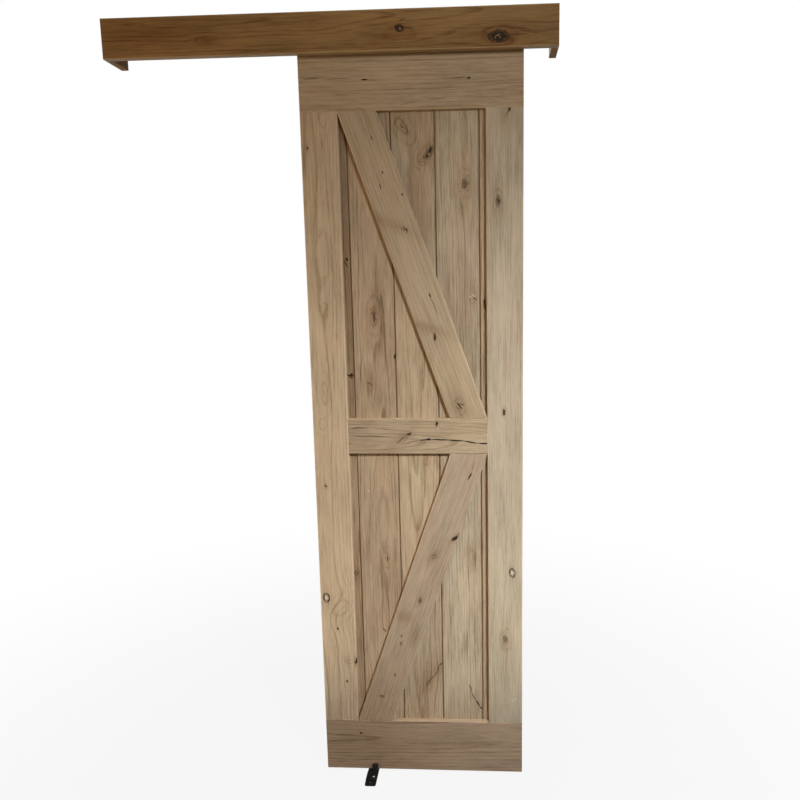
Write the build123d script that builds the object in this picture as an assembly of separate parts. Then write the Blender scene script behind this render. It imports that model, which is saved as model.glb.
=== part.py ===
from build123d import *
import os
from math import sqrt

# Single sliding barn door: a tongue and groove plank leaf with a K frame on its front,
# hung from a flat track behind a boxed valance, and steered by a guide on the floor.
# Millimetres. X runs along the track, +Y goes into the wall, +Z is up.
# The wall is the plane Y = 0, and the origin is the middle of the ledger's wall face.

# Door leaf
DOOR_WIDTH = 610.0
DOOR_HEIGHT = 2134.0
PLANK_COUNT = 5
PLANK_THICKNESS = 19.0
FRAME_THICKNESS = 16.0
STILE_WIDTH = 102.0
END_RAIL_WIDTH = 165.0
MID_RAIL_WIDTH = 104.0
MID_RAIL_CENTRE = 1066.0
BRACE_WIDTH = 102.0
BOARD_EASE = 0.8
OPENING_BEVEL = 2.0
BRACE_BEVEL = 1.5
PLANK_V = 3.0
PLANK_GAP = 1.2
TONGUE_LENGTH = 8.0
TONGUE_THICKNESS = 6.0
TONGUE_CLEARANCE = 0.3

# Header: ledger on the wall, valance in front of it
TRAVEL = 430.0
HEADER_OVERHANG = 90.0
LEDGER_HEIGHT = 70.0
LEDGER_THICKNESS = 19.0
VALANCE_HEIGHT = 103.0
VALANCE_THICKNESS = 19.0
VALANCE_OVERLAP = 25.0
VALANCE_GAP = 12.0
VALANCE_EASE = 1.5
RETURN_THICKNESS = 19.0

# Track and its three stand-offs, bolted to the studs behind the wall
TRACK_HEIGHT = 30.0
TRACK_THICKNESS = 6.0
TRACK_END_INSET = 12.0
TRACK_GAP = 6.0
STUD_SPACING = 406.4
STANDOFF_LENGTH = 26.0
STANDOFF_RADIUS = 9.0
LAG_HOLE_RADIUS = 4.2

# Top-mount hangers and grooved rollers
HANGER_INSET = 90.0
HANGER_THICKNESS = 4.0
HANGER_BASE_LENGTH = 110.0
HANGER_BASE_DEPTH = 32.0
HANGER_BASE_CORNER = 6.0
HANGER_STRAP_WIDTH = 36.0
HANGER_SCREW_SPACING = 84.0
HANGER_SCREW_RADIUS = 2.6
ROLLER_TREAD_RADIUS = 13.5
ROLLER_FLANGE_DEPTH = 4.5
ROLLER_WIDTH = 20.0
ROLLER_SIDE_CLEARANCE = 1.0
ROLLER_RIM_BEVEL = 1.2
RUNNING_CLEARANCE = 0.3
AXLE_RADIUS = 5.0
AXLE_CLEARANCE = 0.15
AXLE_COLLAR_RADIUS = 8.0
AXLE_COLLAR_LENGTH = 3.0
AXLE_HEAD_FLATS = 15.0
AXLE_HEAD_THICKNESS = 4.5

# Track stops with rubber buffers
STOP_LENGTH = 22.0
STOP_WALL = 7.0
STOP_CHEEK = 12.0
STOP_CLEARANCE = 6.0
BUFFER_RADIUS = 6.0
BUFFER_LENGTH = 9.0
BUFFER_RECESS = 3.0

# Floor guide
FLOOR_GAP = 12.0
GUIDE_FROM_LEFT_EDGE = 144.0
GUIDE_WIDTH = 34.0
GUIDE_REACH = 65.0
GUIDE_PLATE = 3.0
GUIDE_CLEARANCE = 5.0
GUIDE_TAB_WIDTH = 17.0
GUIDE_TAB_HEIGHT = 34.0
GUIDE_FOOT_LENGTH = 40.0
GUIDE_TAIL_LENGTH = 16.0
GUIDE_CORNER = 6.0
GUIDE_TAB_CORNER = 3.0
GUIDE_SCREW_RADIUS = 2.5
GUIDE_SCREW_INSET = 14.0

# Depths from the wall, all negative because the room lies towards -Y
LEDGER_FRONT = -LEDGER_THICKNESS
TRACK_BACK = LEDGER_FRONT - STANDOFF_LENGTH
TRACK_MID = TRACK_BACK - TRACK_THICKNESS / 2
TRACK_FRONT = TRACK_BACK - TRACK_THICKNESS
LEAF_THICKNESS = PLANK_THICKNESS + FRAME_THICKNESS
LEAF_BACK = TRACK_MID + LEAF_THICKNESS / 2
PLANK_FRONT = LEAF_BACK - PLANK_THICKNESS
LEAF_FRONT = LEAF_BACK - LEAF_THICKNESS
ROLLER_BACK = TRACK_MID + ROLLER_WIDTH / 2
ROLLER_FRONT = TRACK_MID - ROLLER_WIDTH / 2
HANGER_BACK = ROLLER_FRONT - AXLE_COLLAR_LENGTH
HANGER_FRONT = HANGER_BACK - HANGER_THICKNESS
VALANCE_BACK = min(LEAF_FRONT, HANGER_FRONT - AXLE_HEAD_THICKNESS) - VALANCE_GAP
VALANCE_FRONT = VALANCE_BACK - VALANCE_THICKNESS

# Heights, first above the top of the leaf
TRACK_LOW = HANGER_THICKNESS + TRACK_GAP
TRACK_TOP = TRACK_LOW + TRACK_HEIGHT
AXLE_HEIGHT = TRACK_TOP + RUNNING_CLEARANCE + ROLLER_TREAD_RADIUS
ROLLER_RADIUS = ROLLER_TREAD_RADIUS + ROLLER_FLANGE_DEPTH
VALANCE_TOP = VALANCE_HEIGHT - VALANCE_OVERLAP
LEAF_TOP = LEDGER_HEIGHT / 2 - VALANCE_TOP
LEAF_BOTTOM = LEAF_TOP - DOOR_HEIGHT
FLOOR = LEAF_BOTTOM - FLOOR_GAP

# Places along the track
HEADER_LENGTH = DOOR_WIDTH + TRAVEL + 2 * HEADER_OVERHANG
LEAF_LEFT = TRAVEL / 2 - DOOR_WIDTH / 2
LEAF_RIGHT = LEAF_LEFT + DOOR_WIDTH
HANGER_LEFT_X = LEAF_LEFT + HANGER_INSET
HANGER_RIGHT_X = LEAF_RIGHT - HANGER_INSET
STUD_XS = (-STUD_SPACING, 0.0, STUD_SPACING)
TRACK_BOLT_Z = LEAF_TOP + TRACK_LOW + TRACK_HEIGHT / 2


def block(x0, x1, y0, y1, z0, z1):
    """Box between two corners."""
    centre = ((x0 + x1) / 2, (y0 + y1) / 2, (z0 + z1) / 2)
    return Pos(*centre) * Box(abs(x1 - x0), abs(y1 - y0), abs(z1 - z0))


def rod(x, z, y0, y1, radius):
    """Cylinder along Y."""
    middle = Pos(x, (y0 + y1) / 2, z)
    return middle * Rot(90, 0, 0) * Cylinder(radius, abs(y1 - y0))


def plane_facing_room(y, x=0.0, z=0.0):
    """Work plane at depth y, drawn with X right and Z up, extruding into the room."""
    return Plane(origin=(x, y, z), x_dir=(1, 0, 0), z_dir=(0, -1, 0))


# Planks, drawn in plan and extruded upwards
plank_width = DOOR_WIDTH / PLANK_COUNT


def plank(index):
    """One board with a tongue on its right and a groove on its left, V edges at each joint."""
    first = index == 0
    last = index == PLANK_COUNT - 1
    low = 0.0 if first else PLANK_GAP / 2
    high = plank_width if last else plank_width - PLANK_GAP / 2
    section = Pos((low + high) / 2, 0) * Rectangle(high - low, PLANK_THICKNESS)
    corners = section.vertices().sort_by(Axis.X)
    joint_corners = ShapeList()
    if not first:
        joint_corners += corners[:2]
    if not last:
        joint_corners += corners[2:]
    section = chamfer(joint_corners, PLANK_V)
    if not last:
        section += Pos(high + TONGUE_LENGTH / 2, 0) * Rectangle(TONGUE_LENGTH, TONGUE_THICKNESS)
    if not first:
        depth = TONGUE_LENGTH + TONGUE_CLEARANCE - PLANK_GAP
        height = TONGUE_THICKNESS + 2 * TONGUE_CLEARANCE
        section -= Pos(low + depth / 2, 0) * Rectangle(depth, height)
    board = extrude(section, DOOR_HEIGHT, dir=(0, 0, 1))
    middle = (LEAF_BACK + PLANK_FRONT) / 2
    return Pos(LEAF_LEFT + index * plank_width, middle, LEAF_BOTTOM) * board


# Frame boards on the planks
inner_left = LEAF_LEFT + STILE_WIDTH
inner_right = LEAF_RIGHT - STILE_WIDTH
lower_low = LEAF_BOTTOM + END_RAIL_WIDTH
lower_high = LEAF_BOTTOM + MID_RAIL_CENTRE - MID_RAIL_WIDTH / 2
upper_low = lower_high + MID_RAIL_WIDTH
upper_high = LEAF_TOP - END_RAIL_WIDTH
inner_width = inner_right - inner_left


def opening_bevel(low, high):
    """Cutter that bevels the boards round one opening, mitred in its corners."""
    plane = plane_facing_room(LEAF_FRONT + OPENING_BEVEL, (inner_left + inner_right) / 2, (low + high) / 2)
    return extrude(plane * Rectangle(inner_width, high - low), OPENING_BEVEL, taper=-45)


lower_bevel = opening_bevel(lower_low, lower_high)
upper_bevel = opening_bevel(upper_low, upper_high)


def frame_board(x0, x1, z0, z1):
    """Flat board of the frame with eased front edges, bevelled where it borders an opening."""
    board = block(x0, x1, LEAF_FRONT, PLANK_FRONT, z0, z1)
    front = board.faces().sort_by(Axis.Y)[0]
    return chamfer(front.edges(), BOARD_EASE) - lower_bevel - upper_bevel


def brace(low, high, falls_right):
    """Diagonal board between two opposite corners of an opening, with level ends."""
    rise = high - low
    reach = sqrt(inner_width**2 + rise**2 - BRACE_WIDTH**2)
    end = BRACE_WIDTH * (rise * reach - BRACE_WIDTH * inner_width) / (rise**2 - BRACE_WIDTH**2)
    left_z, right_z = (high, low) if falls_right else (low, high)
    outline = [
        (inner_left, left_z),
        (inner_left + end, left_z),
        (inner_right, right_z),
        (inner_right - end, right_z),
    ]
    face = make_face(Polyline(*outline, close=True))
    board = extrude(plane_facing_room(PLANK_FRONT) * face, FRAME_THICKNESS)
    front = board.faces().sort_by(Axis.Y)[0]
    board = chamfer(front.edges().sort_by(Edge.length)[2:], BRACE_BEVEL)
    front = board.faces().sort_by(Axis.Y)[0]
    return chamfer(front.edges().sort_by(Edge.length)[:2], BOARD_EASE)


# Header boards: the ledger runs between the valance's two returns
half_header = HEADER_LENGTH / 2
half_ledger = half_header - RETURN_THICKNESS
stud_bores = [rod(x, TRACK_BOLT_Z, 0, TRACK_FRONT, LAG_HOLE_RADIUS) for x in STUD_XS]


def bored(solid):
    """Solid with the three stud bolt holes through it."""
    for bore in stud_bores:
        solid = solid - bore
    return solid


ledger_low = -LEDGER_HEIGHT / 2
ledger_high = LEDGER_HEIGHT / 2
valance_high = LEAF_TOP + VALANCE_TOP
valance_low = valance_high - VALANCE_HEIGHT
ledger = bored(block(-half_ledger, half_ledger, LEDGER_FRONT, 0, ledger_low, ledger_high))
left_return = block(-half_header, -half_ledger, VALANCE_BACK, 0, valance_low, valance_high)
right_return = block(half_ledger, half_header, VALANCE_BACK, 0, valance_low, valance_high)
valance_front = block(-half_header, half_header, VALANCE_FRONT, VALANCE_BACK, valance_low, valance_high)
room_face = valance_front.faces().sort_by(Axis.Y)[0]
valance_front = chamfer(room_face.edges(), VALANCE_EASE)

# Track and stand-offs
half_track = half_ledger - TRACK_END_INSET
track_low = LEAF_TOP + TRACK_LOW
track_high = LEAF_TOP + TRACK_TOP
track = bored(block(-half_track, half_track, TRACK_FRONT, TRACK_BACK, track_low, track_high))


def standoff(x):
    """Round spacer between ledger and track."""
    return bored(rod(x, TRACK_BOLT_Z, LEDGER_FRONT, TRACK_BACK, STANDOFF_RADIUS))


# Hangers, rollers and axles
axle_z = LEAF_TOP + AXLE_HEIGHT


def hanger(x):
    """Base plate on the leaf's top edge with a strap up to the axle, in one welded piece."""
    base_middle = HANGER_FRONT + HANGER_BASE_DEPTH / 2
    outline = RectangleRounded(HANGER_BASE_LENGTH, HANGER_BASE_DEPTH, HANGER_BASE_CORNER)
    base = Pos(x, base_middle, LEAF_TOP) * extrude(outline, HANGER_THICKNESS, dir=(0, 0, 1))
    for side in (-1, 1):
        screw_x = x + side * HANGER_SCREW_SPACING / 2
        base -= Pos(screw_x, base_middle, LEAF_TOP) * Cylinder(HANGER_SCREW_RADIUS, 3 * HANGER_THICKNESS)
    half_strap = HANGER_STRAP_WIDTH / 2
    strap = block(x - half_strap, x + half_strap, HANGER_FRONT, HANGER_BACK, LEAF_TOP, axle_z)
    strap += rod(x, axle_z, HANGER_FRONT, HANGER_BACK, half_strap)
    return base + strap - rod(x, axle_z, HANGER_FRONT, HANGER_BACK, AXLE_RADIUS + AXLE_CLEARANCE)


def roller(x):
    """Grooved wheel that straddles the track."""
    half_groove = TRACK_THICKNESS / 2 + ROLLER_SIDE_CLEARANCE
    half_width = ROLLER_WIDTH / 2
    bore = AXLE_RADIUS + AXLE_CLEARANCE
    half_section = [
        (bore, -half_width),
        (ROLLER_RADIUS - ROLLER_RIM_BEVEL, -half_width),
        (ROLLER_RADIUS, -half_width + ROLLER_RIM_BEVEL),
        (ROLLER_RADIUS, -half_groove),
        (ROLLER_TREAD_RADIUS, -half_groove),
        (ROLLER_TREAD_RADIUS, half_groove),
        (ROLLER_RADIUS, half_groove),
        (ROLLER_RADIUS, half_width - ROLLER_RIM_BEVEL),
        (ROLLER_RADIUS - ROLLER_RIM_BEVEL, half_width),
        (bore, half_width),
    ]
    wheel = revolve(make_face(Polyline(*half_section, close=True)), Axis.Y)
    return Pos(x, TRACK_MID, axle_z) * wheel


def axle(x):
    """Shoulder bolt: hex head in the room, collar between strap and wheel, nut behind."""
    shank_end = ROLLER_BACK + AXLE_HEAD_THICKNESS
    bolt = rod(x, axle_z, HANGER_FRONT, shank_end, AXLE_RADIUS)
    bolt += rod(x, axle_z, HANGER_BACK, ROLLER_FRONT, AXLE_COLLAR_RADIUS)
    hexagon = RegularPolygon(AXLE_HEAD_FLATS / 2, 6, major_radius=False)
    bolt += extrude(plane_facing_room(HANGER_FRONT, x, axle_z) * hexagon, AXLE_HEAD_THICKNESS)
    bolt += extrude(plane_facing_room(shank_end, x, axle_z) * hexagon, AXLE_HEAD_THICKNESS)
    return bolt


# Stops and buffers
stop_reach = ROLLER_RADIUS + STOP_CLEARANCE
stop_face_right = HANGER_RIGHT_X + stop_reach
stop_face_left = HANGER_LEFT_X - TRAVEL - stop_reach


def track_stop(face_x, side):
    """Block that clips over the track; its buffer faces the rollers."""
    near = face_x + side * (BUFFER_LENGTH - BUFFER_RECESS)
    far = near + side * STOP_LENGTH
    half_depth = TRACK_THICKNESS / 2 + STOP_WALL
    top = axle_z + BUFFER_RADIUS + STOP_WALL / 2
    body = block(near, far, TRACK_MID - half_depth, TRACK_MID + half_depth, track_high - STOP_CHEEK, top)
    body -= block(near, far, TRACK_FRONT, TRACK_BACK, track_low, track_high)
    return body - buffer(face_x, side)


def buffer(face_x, side):
    """Rubber plug let into a stop."""
    middle = face_x + side * BUFFER_LENGTH / 2
    return Pos(middle, TRACK_MID, axle_z) * Rot(0, 90, 0) * Cylinder(BUFFER_RADIUS, BUFFER_LENGTH)


# Floor guide
guide_x = LEAF_LEFT + GUIDE_FROM_LEFT_EDGE
guide_left = guide_x - GUIDE_WIDTH / 2
guide_right = guide_x + GUIDE_WIDTH / 2
guide_front = LEAF_FRONT - GUIDE_REACH
tab_front = LEAF_FRONT - GUIDE_CLEARANCE
tab_back = LEAF_BACK + GUIDE_CLEARANCE
guide_back = tab_back + GUIDE_TAIL_LENGTH
plate_top = FLOOR + GUIDE_PLATE
screw_front = guide_front + GUIDE_SCREW_INSET
screw_back = (LEAF_FRONT + LEAF_BACK) / 2

guide_plate = block(guide_left, guide_right, guide_front, guide_back, FLOOR, plate_top)
guide_plate = fillet(guide_plate.edges().filter_by(Axis.Z), GUIDE_CORNER)
for screw_y in (screw_front, screw_back):
    guide_plate -= Pos(guide_x, screw_y, FLOOR) * Cylinder(GUIDE_SCREW_RADIUS, 3 * GUIDE_PLATE)


def guide_bracket(face_y, outward, foot_length):
    """Foot on the plate with a narrow tab turned up beside the leaf."""
    foot_top = plate_top + GUIDE_PLATE
    far = face_y + outward * foot_length
    foot = block(guide_left, guide_right, face_y, far, plate_top, foot_top)
    tab_far = face_y + outward * GUIDE_PLATE
    tab = block(guide_right - GUIDE_TAB_WIDTH, guide_right, face_y, tab_far, plate_top, FLOOR + GUIDE_TAB_HEIGHT)
    tops = tab.edges().filter_by(Axis.Y).sort_by(Axis.Z)[2:]
    return foot + fillet(tops, GUIDE_TAB_CORNER)


pieces = {
    "top_rail": frame_board(LEAF_LEFT, LEAF_RIGHT, upper_high, LEAF_TOP),
    "bottom_rail": frame_board(LEAF_LEFT, LEAF_RIGHT, LEAF_BOTTOM, lower_low),
    "left_stile": frame_board(LEAF_LEFT, inner_left, lower_low, upper_high),
    "right_stile": frame_board(inner_right, LEAF_RIGHT, lower_low, upper_high),
    "mid_rail": frame_board(inner_left, inner_right, lower_high, upper_low),
    "upper_brace": brace(upper_low, upper_high, True),
    "lower_brace": brace(lower_low, lower_high, False),
    "ledger": ledger,
    "valance_front": valance_front,
    "left_return": left_return,
    "right_return": right_return,
    "track": track,
    "left_hanger": hanger(HANGER_LEFT_X),
    "right_hanger": hanger(HANGER_RIGHT_X),
    "left_roller": roller(HANGER_LEFT_X),
    "right_roller": roller(HANGER_RIGHT_X),
    "left_axle": axle(HANGER_LEFT_X),
    "right_axle": axle(HANGER_RIGHT_X),
    "left_stop": track_stop(stop_face_left, -1),
    "right_stop": track_stop(stop_face_right, 1),
    "left_buffer": buffer(stop_face_left, -1),
    "right_buffer": buffer(stop_face_right, 1),
    "guide_plate": guide_plate,
    "guide_front_bracket": guide_bracket(tab_front, -1, GUIDE_FOOT_LENGTH),
    "guide_back_bracket": guide_bracket(tab_back, 1, GUIDE_TAIL_LENGTH),
}
for number in range(PLANK_COUNT):
    pieces[f"plank_{number + 1}"] = plank(number)
for number, stud_x in enumerate(STUD_XS):
    pieces[f"standoff_{number + 1}"] = standoff(stud_x)

os.makedirs("parts", exist_ok=True)
for name, shape in pieces.items():
    export_step(shape, f"parts/{name}.step")
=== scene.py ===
from collections import namedtuple
from math import atan2, cos, degrees, pi, radians, sin

import bmesh
import bpy
from mathutils import Matrix, Vector


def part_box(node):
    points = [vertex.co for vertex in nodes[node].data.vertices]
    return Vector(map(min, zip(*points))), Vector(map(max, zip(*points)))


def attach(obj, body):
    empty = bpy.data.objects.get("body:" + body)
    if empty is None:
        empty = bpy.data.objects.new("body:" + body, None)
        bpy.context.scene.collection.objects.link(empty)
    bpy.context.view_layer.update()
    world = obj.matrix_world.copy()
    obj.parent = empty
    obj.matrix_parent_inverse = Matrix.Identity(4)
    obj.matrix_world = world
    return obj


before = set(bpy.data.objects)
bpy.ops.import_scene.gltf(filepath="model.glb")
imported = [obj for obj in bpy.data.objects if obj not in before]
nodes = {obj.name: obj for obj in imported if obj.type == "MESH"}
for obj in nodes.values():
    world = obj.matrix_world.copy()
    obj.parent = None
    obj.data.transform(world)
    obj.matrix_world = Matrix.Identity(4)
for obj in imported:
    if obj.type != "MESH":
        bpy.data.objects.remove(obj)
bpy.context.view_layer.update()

MM = 0.001

# The leaf's lower left front corner, from which every mark on the boards is given in millimetres
leaf_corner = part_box("bottom_rail")[0]
LEAF_X = leaf_corner[0]
LEAF_Z = leaf_corner[2]
FLOOR_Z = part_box("guide_plate")[0][2]


# Node helpers: the mix node's colour sockets are found by their places in its lists
MIX_FIRST, MIX_SECOND, MIX_RESULT = 6, 7, 2


class Graph:
    """Short names for adding and joining shader nodes."""

    def __init__(self, tree):
        self.tree = tree

    def add(self, kind, **settings):
        node = self.tree.nodes.new(kind)
        for key, value in settings.items():
            setattr(node, key, value)
        return node

    def feed(self, socket, value):
        if isinstance(value, bpy.types.NodeSocket):
            self.tree.links.new(value, socket)
        else:
            socket.default_value = value

    def math(self, operation, a, b=0.0, c=0.0, clamp=False):
        node = self.add("ShaderNodeMath", operation=operation, use_clamp=clamp)
        for socket, value in zip(node.inputs, (a, b, c)):
            self.feed(socket, value)
        return node.outputs[0]

    def vector(self, operation, a, b):
        node = self.add("ShaderNodeVectorMath", operation=operation)
        self.feed(node.inputs[0], a)
        if operation == "SCALE":
            self.feed(node.inputs["Scale"], b)
        else:
            self.feed(node.inputs[1], b)
        return node.outputs["Value" if operation == "DOT_PRODUCT" else "Vector"]

    def noise(self, place, scale=1.0, detail=2.0, roughness=0.5, colour=False):
        node = self.add("ShaderNodeTexNoise")
        self.feed(node.inputs["Vector"], place)
        node.inputs["Scale"].default_value = scale
        node.inputs["Detail"].default_value = detail
        node.inputs["Roughness"].default_value = roughness
        return node.outputs["Color" if colour else "Fac"]

    def span(self, value, low, high, to_low=0.0, to_high=1.0, smooth=True):
        node = self.add("ShaderNodeMapRange", interpolation_type="SMOOTHSTEP" if smooth else "LINEAR")
        self.feed(node.inputs["Value"], value)
        for key, number in zip(("From Min", "From Max", "To Min", "To Max"), (low, high, to_low, to_high)):
            self.feed(node.inputs[key], number)
        return node.outputs[0]

    def blend(self, share, a, b, how="MIX"):
        node = self.add("ShaderNodeMix", data_type="RGBA", blend_type=how)
        self.feed(node.inputs[0], share)
        self.feed(node.inputs[MIX_FIRST], a)
        self.feed(node.inputs[MIX_SECOND], b)
        return node.outputs[MIX_RESULT]

    def stretch(self, place, sizes):
        return self.vector("MULTIPLY", place, sizes)

    def squares(self, a, b):
        return self.math("ADD", self.math("MULTIPLY", a, a), self.math("MULTIPLY", b, b))

    def ramp(self, value, *stops):
        node = self.add("ShaderNodeValToRGB")
        self.feed(node.inputs[0], value)
        elements = node.color_ramp.elements
        for index, (position, colour) in enumerate(stops):
            if 0 < index < len(stops) - 1:
                stop = elements.new(position)
            else:
                stop = elements[-1 if index else 0]
            stop.position = position
            stop.color = colour
        return node.outputs[0]

    def bump(self, shader, height, strength, distance):
        node = self.add("ShaderNodeBump")
        node.inputs["Strength"].default_value = strength
        node.inputs["Distance"].default_value = distance
        self.feed(node.inputs["Height"], height)
        self.feed(shader.inputs["Normal"], node.outputs[0])


def rgba(colour):
    return (colour[0], colour[1], colour[2], 1.0)


def tinted(colour, factor):
    return rgba([base * share for base, share in zip(colour, factor)])


# Wood: knots, cracks and grain
MarkKind = namedtuple("MarkKind", "core rim halo lines pale wander bends", defaults=(True,))

# How strongly each kind of mark shows: dark core and rim, stain round it, rings in the stain, pale middle,
# how far its rings wander, and whether the grain bends round it. A foot is a grey patch of painted shade at
# a board's lower end and a glow a pale patch of painted light, each as strong as its stain
KNOT_KINDS = {
    "black": MarkKind(1.0, 1.0, 0.75, 0.35, 0.0, 14.0),
    "knot": MarkKind(0.97, 0.55, 0.55, 0.35, 0.0, 14.0),
    "soft": MarkKind(0.50, 0.40, 0.85, 0.40, 0.0, 12.0),
    "eye": MarkKind(0.0, 1.0, 0.45, 0.35, 0.8, 8.0),
    "grey": MarkKind(0.0, 0.0, 0.62, 0.34, 0.0, 10.0),
    "oval": MarkKind(0.0, 0.0, 0.34, 0.68, 0.0, 4.5),
    "loop": MarkKind(0.0, 0.0, 0.05, 0.34, 0.0, 2.5),
    "faint": MarkKind(0.0, 0.0, 0.20, 0.24, 0.0, 6.0),
    "stain": MarkKind(0.0, 0.0, 0.50, 0.08, 0.0, 14.0, False),
    "foot": MarkKind(0.0, 0.0, 0.60, 0.0, 0.0, 0.0, False),
    "glow": MarkKind(0.0, 0.0, 0.45, 0.0, 0.0, 0.0, False),
    "spot": MarkKind(0.0, 0.0, 0.0, 0.0, 1.0, 0.0, False),
    "gleam": MarkKind(0.0, 0.0, 0.0, 0.0, 0.35, 0.0, False),
}

# Kinds with an even outline
SMOOTH_KINDS = ("oval", "loop", "faint", "spot", "gleam")

# How dark each kind of thin split or line is
CRACK_KINDS = {"crack": 1.0, "line": 0.55, "hair": 0.32}

# A knot's form in half sizes: where its rim lies, how fast its rings follow each other, how slowly its stain
# fades along the grain, and how hard it pushes the grain aside
RIM_RADIUS = 0.9
RING_PACE = 7.0
STAIN_FADE_ALONG = 0.62
GRAIN_PUSH = -0.8

# How far coarse and fine noise moves the outlines of knots and of cracks
KNOT_WANDER = (11.0 * MM, 4.5 * MM)
CRACK_WANDER = (6.0 * MM, 1.0 * MM)


def start_mark_group(name, inputs, outputs):
    """Node group for one mark, with a point's distances from the mark's centre in half sizes."""
    tree = bpy.data.node_groups.new(name, "ShaderNodeTree")
    vectors = [(key, "NodeSocketVector") for key in ("Place", "Centre", "Along", "Across")]
    for key, kind in vectors + [(key, "NodeSocketFloat") for key in inputs]:
        tree.interface.new_socket(key, in_out="INPUT", socket_type=kind)
    for key in outputs:
        tree.interface.new_socket(key, in_out="OUTPUT", socket_type="NodeSocketFloat")
    g = Graph(tree)
    given = g.add("NodeGroupInput").outputs
    offset = g.vector("SUBTRACT", given["Place"], given["Centre"])
    along = g.vector("DOT_PRODUCT", offset, given["Along"])
    across = g.vector("DOT_PRODUCT", offset, given["Across"])
    radius = g.math("SQRT", g.squares(along, across))
    return g, given, g.add("NodeGroupOutput").inputs, along, across, radius


def make_knot_group():
    """One knot: an ellipse in the board's face, what it darkens, and the bend that it gives the grain."""
    g, given, result, along, across, radius = start_mark_group(
        "knot", ("Half width", "Break", "Swirl", "Core", "Rim", "Halo", "Lines", "Pale"),
        ("Bend", "Dark", "Halo", "Lines", "Pale"))
    broken = g.span(given["Break"], 0.38, 0.62)
    core = g.math("MULTIPLY", g.span(radius, 1.05, 0.62), given["Core"])
    core = g.math("MULTIPLY", core, g.math("MULTIPLY_ADD", broken, 0.12, 0.88))
    rim_place = g.math("ABSOLUTE", g.math("SUBTRACT", radius, RIM_RADIUS))
    rim = g.math("MULTIPLY", g.span(rim_place, 0.34, 0.10), given["Rim"])
    rim = g.math("MULTIPLY", rim, g.math("MULTIPLY_ADD", broken, 0.6, 0.4))
    pale = g.math("MULTIPLY", g.span(radius, 0.55, 0.30), given["Pale"])
    dark = g.math("MULTIPLY", g.math("MAXIMUM", core, rim), g.math("SUBTRACT", 1.0, pale))
    stain_reach = g.squares(g.math("MULTIPLY", along, STAIN_FADE_ALONG), across)
    fade = g.math("EXPONENT", g.math("MULTIPLY", stain_reach, -0.5))
    turns = g.math("ADD", g.math("MULTIPLY", radius, RING_PACE), given["Swirl"])
    lines = g.math("MULTIPLY", g.span(g.math("COSINE", turns), 0.25, 1.0), fade)
    lines = g.math("MULTIPLY", lines, g.span(given["Break"], 0.30, 0.70, 0.35, 1.0))
    lines = g.math("MULTIPLY", lines, g.span(radius, 0.25, 0.60))
    lines = g.math("MULTIPLY", lines, g.span(radius, 2.1, 1.1))
    halo = g.math("MULTIPLY", fade, g.math("MULTIPLY_ADD", given["Break"], 0.9, 0.5))
    far = g.squares(g.math("MULTIPLY", along, 0.40), g.math("MULTIPLY", across, 0.60))
    push = g.math("MULTIPLY", g.math("EXPONENT", g.math("MULTIPLY", far, -1.0)), GRAIN_PUSH)
    g.feed(result["Bend"], g.math("MULTIPLY", g.math("MULTIPLY", across, given["Half width"]), push))
    g.feed(result["Dark"], dark)
    g.feed(result["Halo"], g.math("MULTIPLY", halo, given["Halo"]))
    g.feed(result["Lines"], g.math("MULTIPLY", lines, given["Lines"]))
    g.feed(result["Pale"], pale)
    return g.tree


def make_crack_group():
    """One thin split or dark line, pointed at both ends."""
    g, given, result, along, across, radius = start_mark_group("crack", ("Strength",), ("Dark",))
    g.feed(result["Dark"], g.math("MULTIPLY", g.span(radius, 1.05, 0.45), given["Strength"]))
    return g.tree


knot_group = make_knot_group()
crack_group = make_crack_group()


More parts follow.
